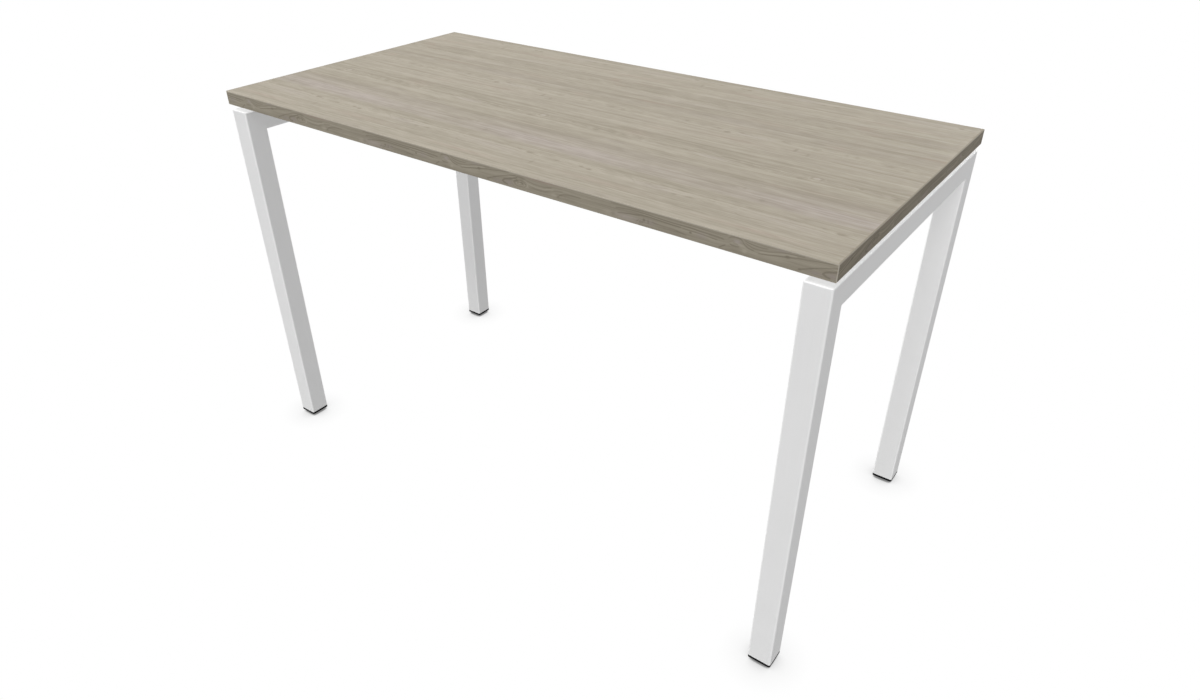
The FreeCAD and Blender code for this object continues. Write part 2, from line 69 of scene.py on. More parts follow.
class Paint:
    """One socket of a node tree; its operators add Math nodes, and node() adds any other node."""

    # A Mix node's colour sockets by number, because its other sockets have the same names
    MIX_FIRST = 6
    MIX_SECOND = 7
    MIX_RESULT = 2

    def __init__(self, tree, socket=None):
        self.tree = tree
        self.socket = socket

    def node(self, kind, settings=None, sockets=None, output=0):
        """A new node: its settings first, then a value or a link for each socket by name or number."""
        made = self.tree.nodes.new(kind)
        for name, value in (settings or {}).items():
            if name == "bends":
                set_bends(made.mapping, value)
            else:
                setattr(made, name, value)
        for name, value in (sockets or {}).items():
            if isinstance(value, Paint):
                self.tree.links.new(value.socket, made.inputs[name])
            else:
                made.inputs[name].default_value = value
        return Paint(self.tree, made.outputs[output] if made.outputs else None)

    def other(self, output):
        """Another output of the node that this socket belongs to."""
        return Paint(self.tree, self.socket.node.outputs[output])

    def math(self, operation, *values):
        """A Math node on some values."""
        return self.node("ShaderNodeMath", {"operation": operation}, dict(enumerate(values)))

    def vector(self, operation, *values, output="Vector"):
        """A Vector Math node on some vectors."""
        return self.node("ShaderNodeVectorMath", {"operation": operation}, dict(enumerate(values)), output)

    def __add__(self, other):
        return self.math("ADD", self, other)

    def __radd__(self, other):
        return self.math("ADD", other, self)

    def __sub__(self, other):
        return self.math("SUBTRACT", self, other)

    def __rsub__(self, other):
        return self.math("SUBTRACT", other, self)

    def __mul__(self, other):
        return self.math("MULTIPLY", self, other)

    def __rmul__(self, other):
        return self.math("MULTIPLY", other, self)

    def __truediv__(self, other):
        return self.math("DIVIDE", self, other)

    def __rtruediv__(self, other):
        return self.math("DIVIDE", other, self)

    def __abs__(self):
        return self.math("ABSOLUTE", self)

    def smooth(self, low, high):
        """0 below low and 1 above high, with a soft step between; turned round where low is the higher."""
        return self.node("ShaderNodeMapRange", {"interpolation_type": "SMOOTHSTEP"},
                         {"Value": self, "From Min": low, "From Max": high})

    def clamp(self):
        """The value kept from 0 to 1."""
        return self.node("ShaderNodeClamp", sockets={"Value": self})

    def bell(self):
        """1 where the value is 0, falling off smoothly on both sides."""
        return self.math("EXPONENT", self * self * -1)

    def curve(self, bends):
        """A smooth curve through bends, given as pairs of place and value."""
        places, values = np.array(bends, float).T
        reach, low, span = places[-1] - places[0], values.min(), np.ptp(values)
        shares = np.stack([(places - places[0]) / reach, (values - low) / span], -1)
        share = (self - places[0]) * (1 / reach)
        return self.node("ShaderNodeFloatCurve", {"bends": shares.tolist()}, {"Value": share}) * span + low

    def mix(self, first, second):
        """The first colour where this value is 0 and the second where it is 1."""
        colours = {self.MIX_FIRST: first, self.MIX_SECOND: second}
        return self.node("ShaderNodeMix", {"data_type": "RGBA"}, {0: self, **colours}, self.MIX_RESULT)


def set_bends(mapping, bends):
    """Lay a curve through bends, given as pairs of place and value from 0 to 1."""
    points = mapping.curves[0].points
    for place, value in bends[1:-1]:
        points.new(place, value)
    points[0].location = bends[0]
    points[-1].location = bends[-1]
    for point in points:
        point.handle_type = "AUTO_CLAMPED"
    mapping.update()


# How 8-bit screen values turn into light: in a straight line up to the end of the toe, then by a power
SCREEN_LEVELS = 255
SCREEN_TOE = 0.04045
SCREEN_TOE_SLOPE = 12.92
SCREEN_OFFSET = 0.055
SCREEN_POWER = 2.4


def tint(red, green, blue):
    """A colour from its 8-bit screen values."""
    screen = np.array([red, green, blue]) / SCREEN_LEVELS
    power = ((screen + SCREEN_OFFSET) / (1 + SCREEN_OFFSET)) ** SCREEN_POWER
    light = np.where(screen <= SCREEN_TOE, screen / SCREEN_TOE_SLOPE, power)
    return (*light.tolist(), 1)


def shade(tone, dark, pale, shift=0):
    """Dark where the tone is 0 and pale where it is 1, both moved by a shift of their screen values."""
    return tone.mix(tint(*dark + shift), tint(*pale + shift))


def empty_tree(owner):
    """The emptied node tree of a material or of the world, ready for its first node."""
    owner.use_nodes = True
    owner.node_tree.nodes.clear()
    return Paint(owner.node_tree)


def new_finish(name):
    """A new material and the socket that reads its pieces' own coordinates in metres."""
    material = bpy.data.materials.new(name)
    return material, empty_tree(material).node("ShaderNodeTexCoord", output="Object")


def close_finish(place, colour, roughness, height, relief, uniform):
    """Join colour, roughness, a relief by its height and depth, and uniform values to a shader."""
    normal = place.node("ShaderNodeBump", sockets={"Height": height, "Distance": relief, "Strength": 1})
    shader = place.node("ShaderNodeBsdfPrincipled", sockets={
        "Base Color": colour, "Roughness": roughness, "Normal": normal, **uniform})
    place.node("ShaderNodeOutputMaterial", sockets={"Surface": shader})


def axes(place):
    """X, Y and Z of a place."""
    x = place.node("ShaderNodeSeparateXYZ", sockets={"Vector": place})
    return x, x.other("Y"), x.other("Z")


def cloud(place, size, detail=2, stretch=(1, 1, 1)):
    """Noise about 0 with features of the given size in metres, drawn out by a factor along each axis."""
    scaled = place.vector("MULTIPLY", place, [1 / (size * factor) for factor in stretch])
    noise = place.node("ShaderNodeTexNoise", sockets={"Vector": scaled, "Scale": 1, "Detail": detail})
    return noise - MIDDLE


# Printed wood decor, which begins again after each repeat; lengths of the print are in millimetres
DECOR_REPEAT = 500
HALF_REPEAT = DECOR_REPEAT / 2
LINE_FADE = 4
LINE_FADE_SHARE = 0.3
# Noise that makes the rings of an eye uneven: streak length, streak width, detail and seed
EYE_WAVER = (8, 5, 1, 19.7)
EYE_WAVER_SHARE = 0.6
EYE_FADE = (1.3, 0.8)


def decor_axes(place):
    """X, Y and Z of a place in the millimetres of the print."""
    return axes(place.vector("MULTIPLY", place, (MILLIMETRES,) * 3))


def in_repeat(value):
    """A length of the print, brought into the repeat about 0."""
    return value.math("WRAP", value, HALF_REPEAT, -HALF_REPEAT)


def decor_turn(along):
    """The place along the grain as a point of a circle, so that the print closes after each repeat."""
    angle = along * (FULL_TURN / DECOR_REPEAT)
    return along.math("COSINE", angle), along.math("SINE", angle)


def decor_streaks(turn, across, length, width, detail, seed):
    """Noise about 0 in streaks of the given length and width, closed after each repeat."""
    radius = DECOR_REPEAT / (FULL_TURN * length)
    cosine, sine = turn
    vector = across.node("ShaderNodeCombineXYZ", sockets={
        "X": cosine * radius, "Y": sine * radius, "Z": across * (1 / width)})
    noise = across.node("ShaderNodeTexNoise", {"noise_dimensions": "4D"}, {
        "Vector": vector, "W": seed, "Scale": 1, "Detail": detail})
    return noise - MIDDLE


def share_of_mark(spot, along, across, reach_along, reach_across):
    """The way from a mark of the print, in shares of its reach, and the same way in millimetres."""
    off = spot.vector("SUBTRACT", spot, (along, across, 0))
    off = spot.vector("WRAP", off, (HALF_REPEAT,) * 3, (-HALF_REPEAT,) * 3)
    return spot.vector("MULTIPLY", off, (1 / reach_along, 1 / reach_across, 0)), off


def nearness(spot, along, across, reach_along, reach_across):
    """1 at a mark of the print, falling off as a bell over its reach, and again after each repeat."""
    share, _ = share_of_mark(spot, along, across, reach_along, reach_across)
    square = spot.vector("DOT_PRODUCT", share, share, output="Value")
    return square.math("EXPONENT", square * -1)


def marks(spot, rows):
    """The sum of marks, each given by its place along and across, its reaches and its strength."""
    total = 0
    for along, across, reach_along, reach_across, strength in rows:
        near = nearness(spot, along, across, reach_along, reach_across)
        total = near.math("MULTIPLY_ADD", near, strength, total)
    return total


def grain_line(along, across, half_width, bends):
    """1 on a drawn line of the grain, falling off as a bell across it and softly at its ends."""
    start, end = bends[0][0], bends[-1][0]
    middle, reach = (start + end) / 2, (end - start) / 2
    off = in_repeat(along - middle)
    line = off.curve([(bend_along - middle, bend_across) for bend_along, bend_across in bends])
    away = in_repeat(across - line) * (1 / half_width)
    ends = abs(off).smooth(reach, reach - min(LINE_FADE, reach * LINE_FADE_SHARE))
    return away.bell() * ends


def eye_rings(spot, turn, eye):
    """Uneven rings about 0 round an eye of the grain, fading out beyond its outline."""
    *outline, rings = eye
    share, off = share_of_mark(spot, *outline)
    _, across, _ = axes(off)
    waver = decor_streaks(turn, across, *EYE_WAVER) * EYE_WAVER_SHARE
    radius = spot.vector("LENGTH", share, output="Value") + waver
    return radius.math("COSINE", (radius - 1) * (FULL_TURN * rings)) * radius.smooth(*EYE_FADE)


def printed_colour(tone, lilac, rosy, dark, pale, lilac_shift, rosy_shift):
    """Dark to pale by tone, turned to lilac and then to rosy where these are 1."""
    colour = lilac.mix(shade(tone, dark, pale), shade(tone, dark, pale, lilac_shift))
    return rosy.mix(colour, shade(tone, dark, pale, rosy_shift))


# Stripes of the desktop's decor: place across the grain and tone in steps of lightness
DESKTOP_STRIPES = (
    (-250, 1), (-236, 3), (-224, 5), (-219.5, 4.5), (-217, -1.5), (-204, -2.5), (-199, -1), (-194, 1.5),
    (-188, -1), (-168, 3), (-160, 3), (-156.5, -3), (-148, -0.5), (-136, -4), (-124, -6.5), (-116, -2),
    (-104, -3), (-88, 3), (-77, -2), (-62, -4), (-48, -3), (-40, -5), (-35, 0), (-28, 4), (-14, 1),
    (2, 3), (9, 0), (16, 2), (24, 1), (32, 3.5), (40, 2), (49, 4), (55, 0), (62, -2), (80, -0.5),
    (92, -4.5), (104, -6.5), (113, -0.5), (124, -3), (140, 2.5), (160, -3.5), (186, -4), (195, 2),
    (204, 4), (219, 1), (229, 3.5), (239, 0.5), (250, 1),
)
# Lilac of the desktop's decor: place across the grain and share
DESKTOP_LILAC = (
    (-250, 0), (-198, 0), (-194, 0.35), (-180, 0.45), (-162, 0.5), (-156, 0.25), (-140, 0.3), (-124, 0.2),
    (-114, 0.02), (-60, 0), (35, 0.04), (60, 0), (72, 0.02), (82, 0.14), (104, 0.11), (113, 0.03),
    (130, 0.06), (145, 0.06), (165, 0.02), (193, 0.06), (205, 0), (250, 0),
)
# Broad marks of the desktop's decor: along, across, reach along, reach across, tone
DESKTOP_PATCHES = (
    (155, -230, 65, 14, 2.0), (355, -222, 38, 4, 3.0), (520, -214, 70, 4, -1.5), (265, 238, 110, 3, -2.5),
    (325, 231, 65, 2.5, 3.0), (420, 201, 36, 4, 4.0), (425, 212, 25, 4, -4.0), (230, 200, 70, 8, 1.0),
    (545, 172, 60, 16, -2.5), (130, 172, 60, 16, 2.5), (300, 172, 60, 14, 1.5), (160, 137, 30, 6, 2.5),
    (200, 118, 45, 9, -2.5), (470, 125, 70, 4, -2.5), (510, 115, 80, 4, 3.0), (530, 105, 70, 4, -2.5),
    (200, 92, 90, 6, 1.5), (520, 66, 80, 9, -2.5), (200, 68, 70, 7, 1.0), (330, 45, 34, 7, 4.0),
    (560, 48, 30, 5, 3.0), (510, 10, 80, 3, -2.5), (510, 3, 80, 3, 2.0), (140, -25, 50, 5, 3.0),
    (540, -30, 50, 5, 2.0), (190, -45, 90, 9, -2.0), (310, -47, 30, 7, -3.0), (500, -52, 60, 9, 2.0),
    (305, -77, 22, 5, 6.0), (440, -86, 60, 6, 1.5), (145, -112, 30, 6, 4.0), (300, -112, 25, 5, 3.0),
    (390, -116, 50, 2.5, 3.0), (380, -128, 60, 9, -3.0), (180, -146, 100, 5, 2.0),
    (140, -165, 50, 9, 3.0), (510, -168, 70, 9, 3.0), (330, -180, 70, 10, -2.0), (200, -205, 60, 6, -2.0),
    (180, -216, 40, 4, 3.0), (425, -240, 30, 8, -1.5), (524, -183, 27, 7, 4.0),
)
# Thin dark lines of the desktop's decor, in the same order
DESKTOP_LINES = (
    (466, -176, 28, 2, -8), (464, -182, 30, 2.2, -9), (462, -188, 28, 2, -7), (357, -163, 27, 5, -12),
    (550, 161, 40, 4, -4), (556, 157, 18, 4, -8), (382, 153, 10, 4, -11), (409, 162, 15, 5, -11),
    (387, -160, 6, 3, -8), (110, -69, 16, 4, -6), (60, 158, 14, 4, -4), (95, -203, 30, 2, -2),
    (432, -287.5, 20, 2.5, -4),
)
# Drawn grain of the desktop's decor: half width, tone, and places along with their places across
DESKTOP_DRAWN = (
    (1.2, -7, ((92, -222), (103, -224.5), (113, -226), (124, -227), (131, -225.5))),
    (1.2, -8, ((165, -224), (175, -226.5), (187, -227.3))),
    (1.3, -7, ((250, -218.5), (257, -221), (262, -225), (269, -230))),
    (1.6, -6, ((271, -227.5), (281, -225), (292, -224))),
    (1.4, -7, ((298, -228.5), (306, -227), (315, -224), (322, -222))),
    (1.3, -8, ((305, -233.5), (322, -232.5), (337, -232), (357, -230.5), (373, -227.5), (396, -224.5))),
    (1.2, 7, ((312, -230), (322, -226), (345, -225), (370, -223.5), (420, -222))),
    (1.2, -8, ((429, -237), (436, -242), (443, -244.5), (458, -245))),
    (1.3, -11, ((566, -223), (575, -224.5), (583, -226), (593, -227.5))),
    (1.0, -6, ((300, -216.5), (380, -217.5), (470, -218), (590, -216))),
    (1.2, -6, ((315, -262.5), (350, -263), (405, -264))),
    (1.3, 6, ((245, -268), (300, -268.7), (355, -268))),
    (1.4, -4, ((455, -283.5), (520, -283), (590, -282))),
    (1.3, -10, ((241, 52), (250, 48.5), (258, 45), (267, 41))),
    (1.3, -8, ((269, 40), (277, 43), (284, 46.5), (292, 50.5))),
    (1.2, -8, ((358, 51), (366, 48), (377, 50), (394, 49))),
    (1.2, -7, ((394, 48.5), (407, 47), (423, 45))),
    (1.2, -4, ((188, 45), (220, 44), (258, 42))),
    (1.3, -6, ((405, 9.5), (470, 9.5), (530, 8.5), (592, 9))),
    (1.5, -6, ((365, 107.5), (450, 104), (520, 106), (590, 106.5))),
    (1.3, -10, ((312, -66.5), (340, -65), (365, -66), (398, -67))),
    (1.3, -10, ((322, -71.5), (350, -73), (372, -75), (399, -78.5))),
    (1.4, -7, ((322, -120), (365, -121), (407, -120.5))),
    (1.4, -6, ((148, -36.5), (200, -38), (260, -38), (322, -37))),
    (1.2, -4, ((438, -40.5), (500, -41), (592, -39))),
    (1.4, 10, ((164, 160.5), (175, 158.5), (183, 154.5), (187, 151))),
    (1.4, -7, ((368, 193), (415, 191), (462, 193.5))),
)
# Knots and flecks of the desktop's decor, in the same order as its marks
DESKTOP_KNOTS = (
    (185.7, -227.5, 3.5, 2.8, -32), (170, -225, 4, 2.2, -15), (125, -226.5, 4, 2.2, -15),
    (266.7, 41, 4.5, 3.8, -38), (183, 53, 4.5, 2.6, -18), (290, 50, 4, 2.6, -16), (246, 49, 5, 2.4, -10),
    (363, 50, 6, 3, -12), (423, 47, 4, 3, -11), (467, 47, 3, 3, -11), (483, 48, 3, 3, -12),
    (538, 40, 4.5, 3, -11), (562, 39, 5.5, 3, -11), (394, 24, 2.4, 6, -28), (417.7, 15, 2.2, 4, -14),
    (569, -223, 4, 2.6, -30), (330.7, 160, 2.5, 4, -15), (470, -67, 4.5, 3.6, 12),
    (448, -78, 3.5, 3, -14), (535.7, -67, 2.5, 3.5, -16), (587, -75, 4.5, 4, -16),
    (441.7, -183, 3, 3.5, -20), (335, -233.5, 4, 2.5, -14), (357, -231, 6, 3, -12),
    (403, -158, 3, 4, -10), (128, -73, 4, 5, 9), (180, -73, 5, 5, 9), (115, -66, 7, 4, -8),
    (98, 248, 2.5, 6, -14),
)
# Rosy marks of the desktop's decor, in the same order
DESKTOP_ROSY = (
    (225, 243, 70, 6, 0.7), (470, 226, 80, 5, 0.7), (300, 118, 50, 7, 0.45), (442, 184, 14, 9, 0.8),
    (470, 165, 14, 6, 0.6), (110, 105, 40, 4, 0.8), (442, 71, 14, 7, 0.7), (280, 71, 28, 6, 0.5),
    (300, 14, 60, 12, 0.35), (150, -50, 25, 14, 0.5), (170, -8, 25, 7, 0.5), (440, -124, 22, 3, 0.6),
    (500, -115, 30, 3, 0.5), (570, 104, 16, 4, 0.8), (510, 190, 30, 3, 0.6),
)
# Where lilac gathers in the desktop's decor and where it thins out, in the same order
DESKTOP_LILAC_PATCHES = (
    (140, -172, 60, 20, 0.3), (515, -172, 75, 20, 0.35), (360, -168, 60, 20, -0.2),
    (380, -128, 60, 9, -0.14), (307, -78, 26, 6, 0.5), (500, -231, 60, 9, 0.35), (298, -227, 32, 8, 0.35),
    (225, 203, 55, 8, 0.28), (470, -66, 5, 4, 0.6), (130, 134, 90, 8, 0.16), (257, 95, 60, 12, 0.2),
    (313, 44, 36, 7, 0.3), (145, -106, 30, 6, 0.28),
)
# Knots round which the desktop's grain bends: along, across, reach along, reach across
BENDING_KNOTS = (
    (266.7, 41, 22, 9), (185.7, -227.5, 18, 7), (569, -223, 18, 7), (470, -68, 18, 9), (365, -72, 40, 8),
)
KNOT_PULL = 0.6
# Eye in the desktop's decor: along, across, half length, half width, rings of its radius
DESKTOP_EYE = (470, -68, 13, 9, 1.5)
DESKTOP_EYE_TONE = 7
# Rows of knots, in which small flakes lie slanted across the grain
KNOT_ROWS = (156, 45, -71, -221)
KNOT_ROW_WIDTH = 11
FLAKE_SLANT = 2.5
PALE_FLAKES = (0.04, 0.16)
PALE_FLAKES_TONE = 7
DARK_FLAKES = (-0.06, -0.20)
DARK_FLAKES_TONE = 10
# Noise of the desktop's decor: streak length, streak width, detail and seed, then what it adds
SWAY = (220, 50, 1, 3.1)
SWAY_REACH = 5
KNOT_FRINGE = (14, 3, 2, 17.2)
KNOT_FRINGE_SHARE = 1.4
FLAKES = (13, 4, 2, 21.3)
BOARDS = (200, 16, 2, 7.7)
BOARDS_TONE = 8
STREAKS = (100, 5, 3, 1.3)
STREAKS_TONE = 24
FINE_LINES = (160, 2.2, 2, 5.9)
FINE_LINES_TONE = 34
FINE_LINES_RELIEF = 0.5
PATCHES = (28, 12, 2, 41.5)
PATCHES_TONE = 16
SHORT_STREAKS = (22, 4.5, 2, 31.1)
SHORT_STREAKS_TONE = 14
PORES = (30, 1.1, 2, 11.6)
PORES_TONE = 18
PORES_GLOSS = 0.2
LILAC_STREAKS = (90, 6, 2, 9.2)
LILAC_STREAKS_SHARE = 0.4
ROSY_STREAKS = (60, 6, 2, 12.4)
ROSY_STREAKS_SHARE = 2
# Steps of lightness from dark to pale, and these two with the shifts to lilac and rosy as screen values
TONE_SPAN = 24
DESKTOP_DARK = np.array([142.8, 135.2, 119.2])
DESKTOP_PALE = np.array([168.8, 160.8, 146.3])
LILAC_SHIFT = np.array([0.7, -1.2, 6.0])
ROSY_SHIFT = np.array([2.8, -1.4, -0.3])
DESKTOP_ROUGHNESS = 0.56
DESKTOP_RELIEF = 0.00008
DESKTOP_GLOSS = 0.35


def grain_round_knots(spot, across):
    """The place across the grain, drawn to each bending knot nearby, so that the grain goes round it."""
    bent = across
    for knot_along, knot_across, reach_along, reach_across in BENDING_KNOTS:
        near = nearness(spot, knot_along, knot_across, reach_along, reach_across)
        bent = near * in_repeat(knot_across - across) * KNOT_PULL + bent
    return bent


def knot_row_flakes(slanted, bent, across):
    """Tone of the pale and dark flakes along the rows of knots."""
    flakes = decor_streaks(slanted, bent, *FLAKES)
    rows = 0
    for row in KNOT_ROWS:
        rows = ((across - row) * (1 / KNOT_ROW_WIDTH)).bell() + rows
    pale = flakes.smooth(*PALE_FLAKES) * PALE_FLAKES_TONE
    dark = flakes.smooth(*DARK_FLAKES) * DARK_FLAKES_TONE
    return rows * (pale - dark)


def desktop_figure(spot, turn, x, y, across):
    """Tone of the desktop's own figure: its marks, lines, knots, drawn grain and eye."""
    tone = marks(spot, DESKTOP_PATCHES + DESKTOP_LINES)
    fringe = decor_streaks(turn, y, *KNOT_FRINGE) * KNOT_FRINGE_SHARE + 1
    tone = marks(spot, DESKTOP_KNOTS) * fringe + tone
    for half_width, strength, bends in DESKTOP_DRAWN:
        tone = grain_line(x, across, half_width, bends) * strength + tone
    return eye_rings(spot, turn, DESKTOP_EYE) * DESKTOP_EYE_TONE + tone


def desktop_decor():
    """Grey-beige wood print, matt, its grain along the desk."""
    material, place = new_finish("desktop_decor")
    x, y, _ = decor_axes(place)
    turn = decor_turn(x)
    across = decor_streaks(turn, y, *SWAY) * SWAY_REACH + y
    printed = in_repeat(across)
    spot = place.node("ShaderNodeCombineXYZ", sockets={"X": x, "Y": across})
    bent = grain_round_knots(spot, across)
    slanted = decor_turn(x + bent * FLAKE_SLANT)
    lines = decor_streaks(turn, bent, *FINE_LINES)
    pores = decor_streaks(turn, bent, *PORES)
    tone = desktop_figure(spot, turn, x, y, across) + knot_row_flakes(slanted, bent, across)
    tone = decor_streaks(turn, bent, *BOARDS) * BOARDS_TONE + tone
    tone = decor_streaks(turn, bent, *STREAKS) * STREAKS_TONE + tone
    tone = decor_streaks(turn, bent, *PATCHES) * PATCHES_TONE + tone
    tone = decor_streaks(slanted, bent, *SHORT_STREAKS) * SHORT_STREAKS_TONE + tone
    tone = lines * FINE_LINES_TONE + pores * PORES_TONE + printed.curve(DESKTOP_STRIPES) + tone
    tone = (tone * (1 / TONE_SPAN) + MIDDLE).clamp()
    lilac = decor_streaks(turn, bent, *LILAC_STREAKS) * LILAC_STREAKS_SHARE + printed.curve(DESKTOP_LILAC)
    lilac = (marks(spot, DESKTOP_LILAC_PATCHES) + lilac).clamp()
    rosy_streaks = decor_streaks(turn, bent, *ROSY_STREAKS) * ROSY_STREAKS_SHARE + 1
    rosy = (marks(spot, DESKTOP_ROSY) * rosy_streaks).clamp()
    colour = printed_colour(tone, lilac, rosy, DESKTOP_DARK, DESKTOP_PALE, LILAC_SHIFT, ROSY_SHIFT)
    roughness = DESKTOP_ROUGHNESS - pores * PORES_GLOSS
    height = pores + lines * FINE_LINES_RELIEF + MIDDLE
    close_finish(place, colour, roughness, height, DESKTOP_RELIEF, {"Specular IOR Level": DESKTOP_GLOSS})
    return material


# Flow of the edge band's grain: place along and height
EDGE_FLOW = (
    (-250, 15.5), (-225, 15.3), (-200, 16.5), (-175, 17.5), (-150, 17), (-125, 16), (-100, 16), (-75, 15),
    (-55, 14), (-42, 17), (-31, 21), (-22, 18), (-10, 13.5), (0, 12.5), (17, 14.5), (33, 17.5),
    (50, 19.5), (75, 20.5), (100, 22), (118, 22), (130, 17.5), (140, 14), (155, 13), (175, 14.5),
    (190, 16), (205, 16.5), (225, 15.8), (250, 15.5),
)
# Drawn lines of the edge band's grain: half width, tone, and places along with their heights
EDGE_LINES = (
    (0.8, -0.35, ((-225, 21.3), (-183, 21.7), (-150, 21.9), (-125, 21.4), (-100, 20.9), (-75, 20.5),
                  (-60, 20.8), (-50, 22), (-43, 23))),
    (0.9, -0.55, ((-217, 16), (-200, 18), (-187, 18.9), (-175, 19), (-162, 18.7), (-150, 18),
                  (-125, 17.4), (-104, 17.6), (-83, 16.6), (-62, 16.3), (-52, 15.6), (-48.5, 13.8))),
    (0.9, -0.65, ((-214, 9.3), (-200, 11.5), (-190, 13), (-179, 14.3), (-172, 15.6), (-162, 16.2),
                  (-150, 15.5), (-125, 14.4), (-110, 14.1))),
    (0.7, 0.3, ((-172, 17.3), (-150, 16.8), (-125, 15.9), (-100, 15.8), (-70, 15))),
    (0.8, -0.5, ((-112, 14), (-98, 13.3), (-87, 13.1), (-75, 12.6), (-57, 11.5))),
    (0.9, -0.35, ((-155, 9.2), (-140, 8.9), (-125, 8.7), (-117, 7.6), (-108, 6.1), (-102, 4.3))),
    (0.7, -0.55, ((-182, 4.8), (-179.5, 6.5), (-177, 9))),
    (0.7, -0.4, ((-177, 5), (-175, 7), (-173.5, 8.5))),
    (0.9, -0.65, ((-57, 2.5), (-52.5, 5), (-49.5, 7), (-46.5, 8.5))),
    (0.9, -0.5, ((-45.5, 17), (-41.7, 20.1), (-36.7, 21.9), (-31, 22.2), (-26, 21), (-23.3, 17.8),
                  (-20, 15.1), (-14, 12.3), (-6, 11.2))),
    (0.8, -0.55, ((-43, 15), (-41.5, 11.8), (-38, 10.3), (-33, 10.2), (-27, 10.9))),
    (0.7, -0.35, ((-37.5, 14.5), (-33, 13.6), (-29, 14.2))),
    (0.7, -0.45, ((-24, 22.5), (-16.7, 20), (-8, 18.5), (2, 18), (12, 19.2))),
    (0.7, -0.4, ((-22, 20), (-15, 16.3), (-5, 14.3), (4, 14.7), (12.5, 15.7), (25, 18.7), (37.5, 20.4),
                  (60, 21.8))),
    (0.8, -0.55, ((-4, 9), (8, 10.7), (21, 13.2), (33, 14.9), (50, 17.7), (67, 19.7), (83, 21.7),
                  (98, 23))),
    (0.9, 0.5, ((-2, 11.6), (12.5, 13.7), (25, 16.2), (33, 17.7), (50, 19.5))),
    (0.8, -0.6, ((50, 2.7), (53, 4.7), (58, 6.5), (67, 9.7), (75, 12.5), (83, 14.7), (92, 17.2),
                  (100, 19.2), (110, 20.8))),
    (1.0, -1.15, ((81, 7.6), (82.3, 8.1), (83.3, 8.9), (85, 9.9), (88.3, 11.2), (94, 12.8), (100, 14.7),
                  (106.7, 16.6), (113, 18.8))),
    (0.9, -1.05, ((81, 7.9), (82, 7.5), (83.3, 6.5), (86.7, 5), (93, 3.9))),
    (0.9, -0.2, ((102.5, 9.6), (105, 11.8), (110.8, 14.6), (118, 17), (126, 18))),
    (1.0, -0.5, ((128, 17.7), (137.5, 16), (146, 14.9), (158, 14.8), (167, 15.8), (177, 17.5))),
    (0.9, 0.5, ((130, 14.5), (140, 12.4), (150, 11.6), (160, 11.9), (168, 13.3), (180, 14.9))),
    (1.2, -0.25, ((136, 9.9), (147, 8.5), (158, 8.4), (167, 10.3), (172, 12.2), (183, 14.2),
                  (197, 16.4))),
    (0.8, -0.5, ((182.5, 5), (187, 7.8), (190, 10.2), (195, 12.2), (201, 13.5), (215, 14.2),
                  (228, 14.6))),
)
# Marks of the edge band's decor: along, height, reach along, reach upwards, tone
EDGE_MARKS = (
    (-228, 6, 6, 3, 0.25), (-219, 6.5, 4, 4, -0.25), (-198, 7, 20, 4.5, 0.28), (-162.5, 9, 1.4, 3, -0.40),
    (-154.5, 9.8, 2.8, 1.6, -0.28), (-135, 5, 20, 4, -0.15), (-169.3, 9.8, 1.6, 1.7, -1.10),
    (-172, 6, 1.5, 1.2, -0.40), (-175, 4.5, 2, 1, -0.40), (-118, 5.3, 10, 2.2, -0.22),
    (-98.2, 11, 1.5, 1.0, -1.70), (-65, 8, 10, 4, 0.12), (-33, 6, 8, 3, -0.10), (-21, 7, 3.5, 2.6, 0.45),
    (-25.5, 13.3, 4, 1.4, 0.55), (-31.5, 17, 4.5, 2.2, 0.40), (36.2, 15.7, 2.2, 1.4, -1.80),
    (53.5, 4.5, 2, 1.2, -0.60), (67, 9.5, 2, 1, -0.40), (20, 8, 20, 4, 0.15), (65, 13, 12, 3, 0.10),
    (118, 19.5, 9, 3, -0.40), (110.4, 13.7, 2.4, 1.5, -0.80), (120, 12.7, 3, 2, -0.45),
    (105, 9.5, 3.5, 4, -0.12), (113.5, 10.3, 4, 1.6, 0.20), (130, 10, 2.8, 3.4, 0.40),
    (178, 8.5, 6, 3, 0.40), (190, 13, 6, 1.5, 0.20), (205, 8, 18, 4, -0.12), (83.2, 7.4, 1.3, 1.2, -0.70),
    (85.2, 6, 1.4, 1, -0.60), (186.5, 6, 2.5, 1.5, -0.30),
)
# Lilac and rosy places of the edge band's decor, in the same order
EDGE_LILAC = (
    (-196, 6.5, 22, 5, 0.6), (-159, 8.5, 8, 4, 0.45), (-82, 11.5, 8, 4, 0.5), (-31.5, 17, 5, 3, 0.9),
    (28, 21.5, 9, 2, 0.5), (73, 5.5, 9, 3, 0.6), (95, 7.5, 7, 4, 0.7),
)
EDGE_ROSY = ((160, 22.3, 30, 2, 1.0),)
# Eye in the edge band's decor: along, height, half length, half height, and rings of its radius
EDGE_EYE = (116, 10.5, 14, 6.5, 2.3)
EDGE_EYE_TONE = 0.25
# Noise of the edge band's decor: streak length, streak width, detail and seed, then what it adds
EDGE_SWAY = (60, 20, 1, 2.4)
EDGE_SWAY_SHARE = 0.2
EDGE_FIGURE = (160, 3.4, 2, 4.6)
EDGE_FIGURE_TONE = 0.7
EDGE_FINE_LINES = (140, 1.2, 2, 8.8)
EDGE_FINE_LINES_TONE = 1.2
EDGE_FINE_LINES_GLOSS = 0.2
EDGE_PORES = (20, 0.5, 2, 6.1)
EDGE_PORES_TONE = 0.7
EDGE_PORES_RELIEF = 0.5
EDGE_MEAN_TONE = 0.56
EDGE_ROUGHNESS = 0.58
EDGE_RELIEF = 0.00006
EDGE_GLOSS = 0.12
